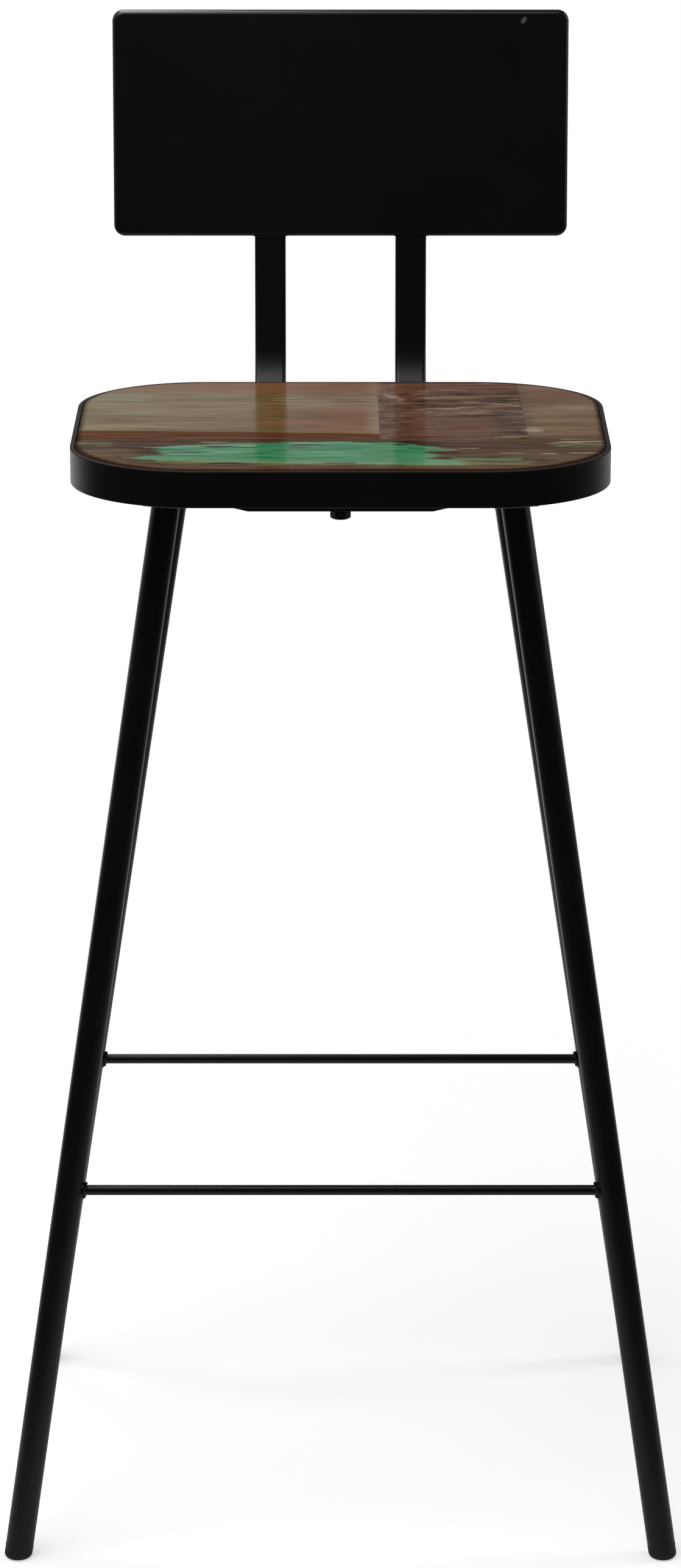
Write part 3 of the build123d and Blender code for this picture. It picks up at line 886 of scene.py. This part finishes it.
def legAxis(side, end):
    # a point on the leg's axis at the rod's height, the axis pointing up, and its top
    rodShare = stool["rodHeight"] / stool["railBottom"]
    rodX = stool["floorX"] + (stool["railX"] - stool["floorX"]) * rodShare
    rodY = stool["floorY"] + (stool["topY"] - stool["floorY"]) * rodShare
    topX = stool["railX"] - (stool["rearInset"] if end > 0 else 0)
    knee = Vector((side * rodX, seatMiddle.y + end * rodY, stool["rodHeight"]))
    top = Vector((side * topX, seatMiddle.y + end * stool["topY"], stool["railBottom"]))
    return knee, (top - knee).normalized(), top


def layWeld(whole, points, radius, chance):
    # nearly even steps along the seam, one flattened ball for each ripple
    mesh = bmesh.new()
    carried = 0.0
    for start, end in zip(points, points[1:]):
        run = end - start
        turn = run.to_track_quat("X", "Z").to_matrix().to_4x4()
        while carried < run.length:
            spot = start + run * (carried / run.length)
            size = radius * chance.uniform(*weldLook["sizeSpread"])
            shape = Matrix.Diagonal((size * weldLook["rippleLength"], size, size, 1))
            bmesh.ops.create_uvsphere(mesh, u_segments=8, v_segments=6, radius=1,
                                      matrix=Matrix.Translation(spot) @ turn @ shape)
            carried += weldLook["rippleGap"] * chance.uniform(*weldLook["gapSpread"])
        carried -= run.length
    gather(whole, mesh)


def ringOnLeg(centre, along, legWay, ringRadius, reach, count=48):
    # ring around a rod, pushed along the rod until it lies on the leg
    side = along.orthogonal().normalized()
    other = along.cross(side)
    flatAlong = along - legWay * along.dot(legWay)
    square = flatAlong.length_squared
    ring = []
    for number in range(count + 1):
        angle = 2 * math.pi * number / count
        spread = (side * math.cos(angle) + other * math.sin(angle)) * ringRadius
        flat = spread - legWay * spread.dot(legWay)
        half = flat.dot(flatAlong)
        rest = flat.length_squared - reach * reach
        push = (math.sqrt(half * half - square * rest) - half) / square
        ring.append(centre + spread + along * push)
    return ring


def rodSeams():
    step = weldLook["rodStep"]
    for side, end in legCorners:
        knee, way, _ = legAxis(side, end)
        for along in (Vector((-side, 0, 0)), Vector((0, -end, 0))):
            ring = ringOnLeg(knee, along, way, stool["rodRadius"] + step, stool["legRadius"] + step)
            yield ring, weldLook["rodBead"]


def legSeams():
    step, count = weldLook["legStep"], 64
    for side, end in legCorners:
        _, way, top = legAxis(side, end)
        ring = []
        for number in range(count + 1):
            angle = 2 * math.pi * number / count
            ray = Vector((math.cos(angle), math.sin(angle), 0))
            across = (ray - way * ray.dot(way)).length
            ring.append(top - Vector((0, 0, step)) + ray * (stool["legRadius"] + step) / across)
        yield ring, weldLook["legBead"]


def railSeams():
    # butt welds: rails to the hoop, cross rails to the rails
    level = stool["railBottom"] + weldLook["railStep"]
    half = stool["railWidth"] / 2 - weldLook["railInset"]
    bendRadius = seatShape["corner"] - stool["hoopThickness"]
    bendY = seatShape["halfY"] - seatShape["corner"]
    for side, end in legCorners:
        bendX = seatShape["halfX"] + end * bendY * seatShape["taper"] - seatShape["corner"]
        seam = []
        for number in range(-6, 7):
            x = stool["railX"] + half * number / 6
            y = bendY + math.sqrt(bendRadius ** 2 - max(0.0, x - bendX) ** 2)
            seam.append(Vector((side * x, seatMiddle.y + end * y, level)))
        yield seam, weldLook["railBead"]
        cross = side * (stool["railX"] - stool["railWidth"] / 2)
        middle = seatMiddle.y + end * stool["crossRailY"]
        ends = [Vector((cross, middle + shift, level)) for shift in (-half, half)]
        yield ends, weldLook["railBead"]


def postSeams():
    # stitches between the posts and the inside of the pan, and beads in the notches of its lower edge
    up = Vector((0, math.sin(backrest["lean"]), math.cos(backrest["lean"])))
    forward = Vector((0, -up.z, up.y))
    for post in (-1, 1):
        for side in (-1, 1):
            x = post * backrest["postX"] + side * (backrest["postHalf"] + weldLook["postStep"])
            start = Vector((x, seatMiddle.y + backrest["bendEnd"][0], backrest["bendEnd"][1]))
            foot = start + up * backrest["panelFoot"]
            inside = forward * (backrest["postHalf"] - weldLook["postInset"])
            for low, high in backrest["stitches"]:
                yield [foot + inside + up * low, foot + inside + up * high], weldLook["postBead"]
            back = forward * (backrest["postHalf"] - backrest["panelDepth"] + weldLook["notchInset"])
            above = up * weldLook["notchStep"]
            ends = [foot + inside + above, foot + back + above]
            yield ends, weldLook["postBead"] * weldLook["notchShare"]


def weldAlong(name, seed, seams):
    chance = random.Random(seed)
    mesh = bmesh.new()
    for points, radius in seams:
        layWeld(mesh, points, radius, chance)
    finishPiece(mesh, name, "powder_coat_black")


def groundSeam():
    # where the ends of the hoop meet, welded and ground nearly flush
    mesh = bmesh.new()
    away = seamLook["fromMiddle"]
    outside = seatShape["halfX"] + away * seatShape["taper"]
    middle = Vector((seamLook["sunk"] - outside, seatMiddle.y + away, (seatLow.z + seatHigh.z) / 2))
    tall = (seatHigh.z - seatLow.z) / 2 - seamLook["endGap"]
    shape = Matrix.Diagonal((*seamLook["half"], tall, 1))
    bmesh.ops.create_uvsphere(mesh, u_segments=24, v_segments=16, radius=1,
                              matrix=Matrix.Translation(middle) @ shape)
    finishPiece(mesh, "hoopSeam", "powder_coat_black")


weldAlong("rodWelds", 31, rodSeams())
weldAlong("legWelds", 37, legSeams())
weldAlong("railWelds", 41, railSeams())
weldAlong("postWelds", 47, postSeams())
groundSeam()
print("welds laid")

# clamp bolts, screws and washers
boltLook = {
    "radius": 0.004,
    "flats": 0.012,
    "faceShare": 0.88,  # flat face under the chamfer, as a share of the flats
    "turnedShare": 1.02,  # turned a little wider than its corners, then cut to six sides
    "chamferDegrees": 30,
    "steps": 48,
    "pitch": 0.00125,
    "threadDepth": 0.0007,
}
screwLook = {
    "headRadius": 0.0045,
    "headHeight": 0.0026,
    "headDome": 0.85,  # 0 for a flat head, 1 for one that runs out at its rim
    "headGrid": 22,
    "shankRadius": 0.0021,
    "crossLength": 0.0024,
    "crossWidth": 0.0006,
    "crossDepth": 0.0014,
    "crossTaper": 0.8,
    "pitch": 0.0018,
    "threadDepth": 0.0007,
    "steps": 20,
}
washerLook = {"inner": 0.0044, "outer": 0.0063, "gapDegrees": 9, "rise": 0.0003, "steps": 40}


def turnProfile(mesh, profile, steps):
    # radius and height pairs, turned once round the upright axis
    verts = [mesh.verts.new((radius, 0, height)) for radius, height in profile]
    edges = [mesh.edges.new(pair) for pair in zip(verts, verts[1:])]
    bmesh.ops.spin(mesh, geom=verts + edges, cent=(0, 0, 0), axis=(0, 0, 1), angle=2 * math.pi,
                   steps=steps, use_merge=True)
    bmesh.ops.remove_doubles(mesh, verts=mesh.verts, dist=mergeGap)
    bmesh.ops.recalc_face_normals(mesh, faces=mesh.faces)


def threadProfile(radius, depth, pitch, low, high):
    profile = []
    for number in range(int((high - low) / pitch)):
        profile.append((radius, low + pitch * number))
        profile.append((radius - depth, low + pitch * (number + 0.5)))
    return profile + [(radius - depth, high), (0, high)]


def openEdges(mesh):
    return [edge for edge in mesh.edges if edge.is_boundary]


def fitPair(makeOne, name, nodeName):
    # one at each cross rail
    whole = bmesh.new()
    for end in (-1, 1):
        gather(whole, makeOne(), Matrix.Translation((0, seatMiddle.y + end * stool["crossRailY"], 0)))
    finishPiece(whole, name, "bolt_steel_black", (nodeName,))


def makeBolt():
    low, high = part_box("clamp_bolts")
    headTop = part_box("spring_washers")[0].z
    half = boltLook["flats"] / 2
    corner = half / math.cos(math.radians(30)) * boltLook["turnedShare"]
    face = half * boltLook["faceShare"]
    chamfer = (corner - face) * math.tan(math.radians(boltLook["chamferDegrees"]))
    head = [(0, low.z), (face, low.z), (corner, low.z + chamfer), (corner, headTop)]
    shank = threadProfile(boltLook["radius"], boltLook["threadDepth"], boltLook["pitch"], headTop, high.z)
    mesh = bmesh.new()
    turnProfile(mesh, head + shank, boltLook["steps"])
    for number in range(6):
        angle = math.radians(60 * number + 30)
        way = Vector((math.cos(angle), math.sin(angle), 0))
        cut = bmesh.ops.bisect_plane(mesh, geom=[*mesh.verts, *mesh.edges, *mesh.faces], dist=cutGap,
                                     plane_co=way * half, plane_no=way, clear_outer=True)
        rim = [part for part in cut["geom_cut"] if isinstance(part, bmesh.types.BMEdge)]
        bmesh.ops.edgeloop_fill(mesh, edges=rim)
    bmesh.ops.recalc_face_normals(mesh, faces=mesh.faces)
    return mesh


def makeSpringWasher():
    low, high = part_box("spring_washers")
    inner, outer = washerLook["inner"], washerLook["outer"]
    top = high.z - washerLook["rise"]
    mesh = bmesh.new()
    square = [(inner, low.z), (outer, low.z), (outer, top), (inner, top)]
    verts = [mesh.verts.new((radius, 0, height)) for radius, height in square]
    edges = [mesh.edges.new(pair) for pair in zip(verts, verts[1:] + verts[:1])]
    bmesh.ops.spin(mesh, geom=verts + edges, cent=(0, 0, 0), axis=(0, 0, 1),
                   steps=washerLook["steps"], dvec=(0, 0, washerLook["rise"] / washerLook["steps"]),
                   angle=math.radians(360 - washerLook["gapDegrees"]))
    bmesh.ops.holes_fill(mesh, edges=openEdges(mesh), sides=4)
    bmesh.ops.recalc_face_normals(mesh, faces=mesh.faces)
    return mesh


def makeScrew(length):
    # pan head with a cross recess, looking down, and a coarse thread above it
    rim = screwLook["headRadius"]
    mesh = bmesh.new()
    cells = screwLook["headGrid"]
    bmesh.ops.create_grid(mesh, x_segments=cells, y_segments=cells, size=1)
    for vert in mesh.verts:
        x, y = vert.co.x, vert.co.y
        vert.co.x = x * math.sqrt(1 - y * y / 2) * rim
        vert.co.y = y * math.sqrt(1 - x * x / 2) * rim
        far = (vert.co.x ** 2 + vert.co.y ** 2) / rim ** 2
        vert.co.z = -screwLook["headHeight"] * math.sqrt(max(1 - far ** 2 * screwLook["headDome"], 0))
    arms = []
    for face in mesh.faces:
        spot = face.calc_center_median()
        across, along = sorted((abs(spot.x), abs(spot.y)))
        if across < screwLook["crossWidth"] and along < screwLook["crossLength"]:
            arms.append(face)
    sunk = bmesh.ops.extrude_face_region(mesh, geom=arms)
    bmesh.ops.delete(mesh, geom=arms, context="FACES")
    recess = [part for part in sunk["geom"] if isinstance(part, bmesh.types.BMVert)]
    bmesh.ops.translate(mesh, verts=recess, vec=(0, 0, screwLook["crossDepth"]))
    bmesh.ops.scale(mesh, verts=recess, vec=(screwLook["crossTaper"], screwLook["crossTaper"], 1))
    skirt = bmesh.ops.extrude_edge_only(mesh, edges=openEdges(mesh))
    for part in skirt["geom"]:
        if isinstance(part, bmesh.types.BMVert):
            part.co.z = 0
    bmesh.ops.holes_fill(mesh, edges=openEdges(mesh), sides=0)
    bmesh.ops.recalc_face_normals(mesh, faces=mesh.faces)
    radius, depth = screwLook["shankRadius"], screwLook["threadDepth"]
    shank = threadProfile(radius, depth, screwLook["pitch"], 0.0, length)
    turnProfile(mesh, shank, screwLook["steps"])
    return mesh


def makeScrews():
    low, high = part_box("board_screws")
    level = stool["railBottom"]
    row = (high.y - low.y) / 2 - screwLook["headRadius"]
    chance = random.Random(43)
    whole = bmesh.new()
    for x in (-stool["railX"], stool["railX"]):
        for step in (-1, 0, 1):
            turn = Matrix.Rotation(chance.uniform(0, math.pi), 4, "Z")
            place = Matrix.Translation((x, seatMiddle.y + step * row, level))
            gather(whole, makeScrew(high.z - level), place @ turn)
    finishPiece(whole, "boardScrews", "zinc_steel", ("board_screws",), sharp=30)


fitPair(makeBolt, "clampBolts", "clamp_bolts")
fitPair(makeSpringWasher, "springWashers", "spring_washers")
makeScrews()
print("fixings made")

# foot caps: the thin collar where a cap meets its tube
collarLook = {"height": 0.008, "proud": 0.00015, "half": 0.0008, "wall": 0.001, "round": 0.0003,
              "steps": 48}


def makeCollars():
    outer = stool["legRadius"] + collarLook["proud"]
    inner = outer - collarLook["wall"]
    half, soft = collarLook["half"], collarLook["round"]
    outline = [(inner, -half), (outer - soft, -half), (outer, -half + soft), (outer, half - soft),
               (outer - soft, half), (inner, half), (inner, -half)]
    whole = bmesh.new()
    for side, end in legCorners:
        knee, way, _ = legAxis(side, end)
        middle = knee - way * ((knee.z - collarLook["height"]) / way.z)
        mesh = bmesh.new()
        turnProfile(mesh, outline, collarLook["steps"])
        turn = way.to_track_quat("Z", "Y").to_matrix().to_4x4()
        gather(whole, mesh, Matrix.Translation(middle) @ turn)
    finishPiece(whole, "footCollars", "plastic_black")


makeCollars()
print("collars fitted")

bpy.context.scene.view_settings.view_transform = "Standard"
